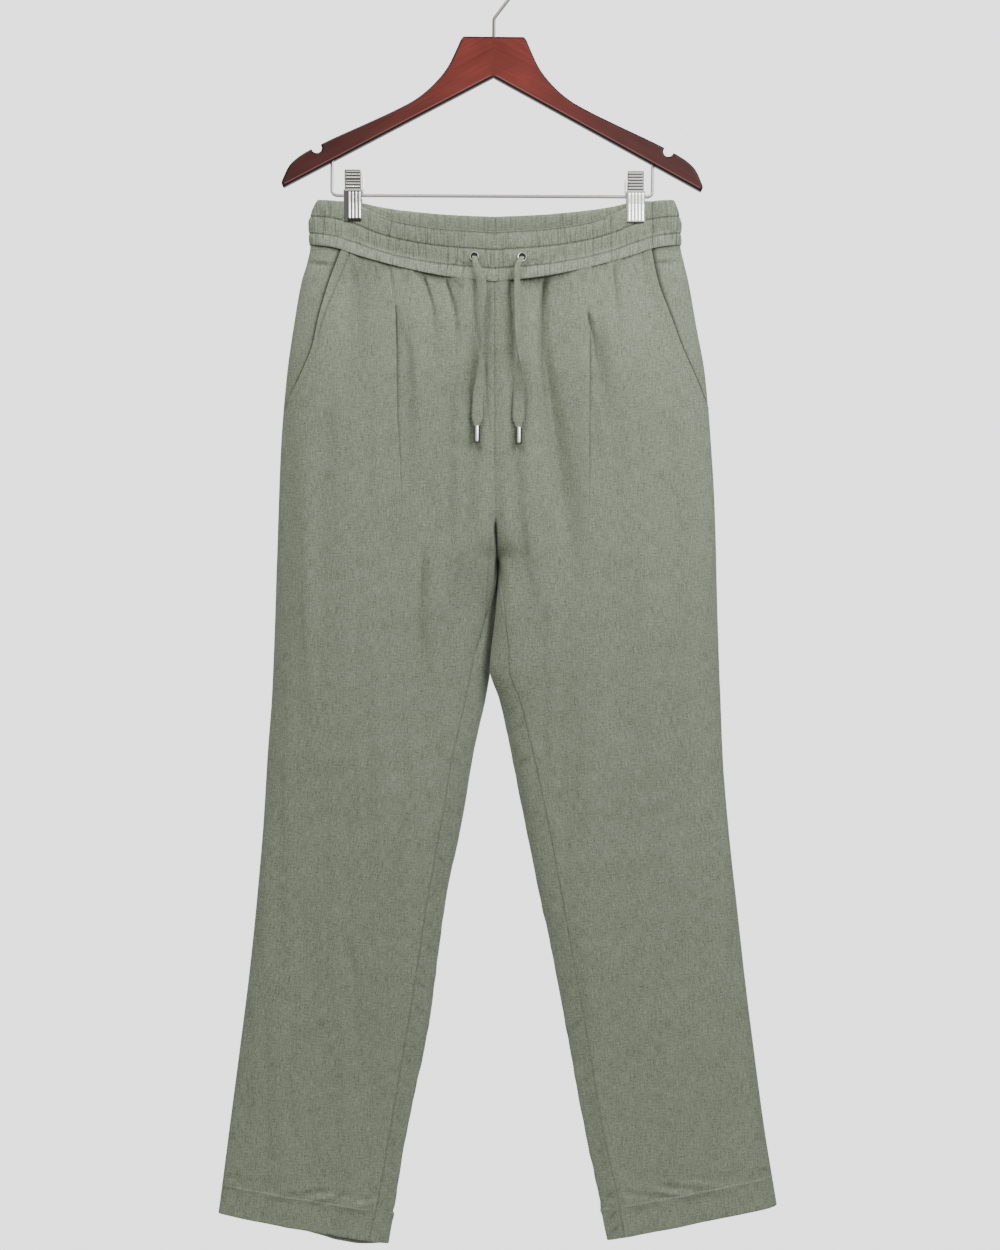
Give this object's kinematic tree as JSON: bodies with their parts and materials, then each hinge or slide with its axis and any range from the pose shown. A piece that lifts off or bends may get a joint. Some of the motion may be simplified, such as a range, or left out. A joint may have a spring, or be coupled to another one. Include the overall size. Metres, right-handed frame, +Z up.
{
  "type": "straight-leg drawstring trousers on a clip hanger",
  "caption": "Pull-on straight-leg trousers with a gathered elastic waistband, drawstring, pleats and slant pockets, hung by clips from a wooden hanger.",
  "frame": {"origin": "inside top of the hook, where the rail carries the hanger", "axes": "+Z up, +X to the right seen from the front, the garment's front faces -Y"},
  "size_m": [0.589, 0.0867, 1.3491],
  "materials": {
    "linen": "matte slubby plain weave, sage green",
    "linen_tape": "matte self-fabric tape",
    "nickel": "polished nickel plate",
    "steel_wire": "satin plated wire",
    "stained_wood": "glossy red-brown stain and varnish"
  },
  "bodies": {
    "root": {"waistband": "linen", "front_left": "linen", "front_right": "linen", "back_left": "linen", "back_right": "linen", "pocket_facing_left": "linen", "pocket_facing_right": "linen", "drawcord_left": "linen_tape", "drawcord_right": "linen_tape", "eyelet_left": "nickel", "eyelet_right": "nickel", "cord_tip_left": "nickel", "cord_tip_right": "nickel", "clip_left_front_jaw": "nickel", "clip_left_back_jaw": "nickel", "clip_left_spring": "nickel", "clip_right_front_jaw": "nickel", "clip_right_back_jaw": "nickel", "clip_right_spring": "nickel", "hanger_hook": "steel_wire", "trouser_bar": "steel_wire", "hanger_arm_left": "stained_wood", "hanger_arm_right": "stained_wood"}
  },
  "joints": []
}
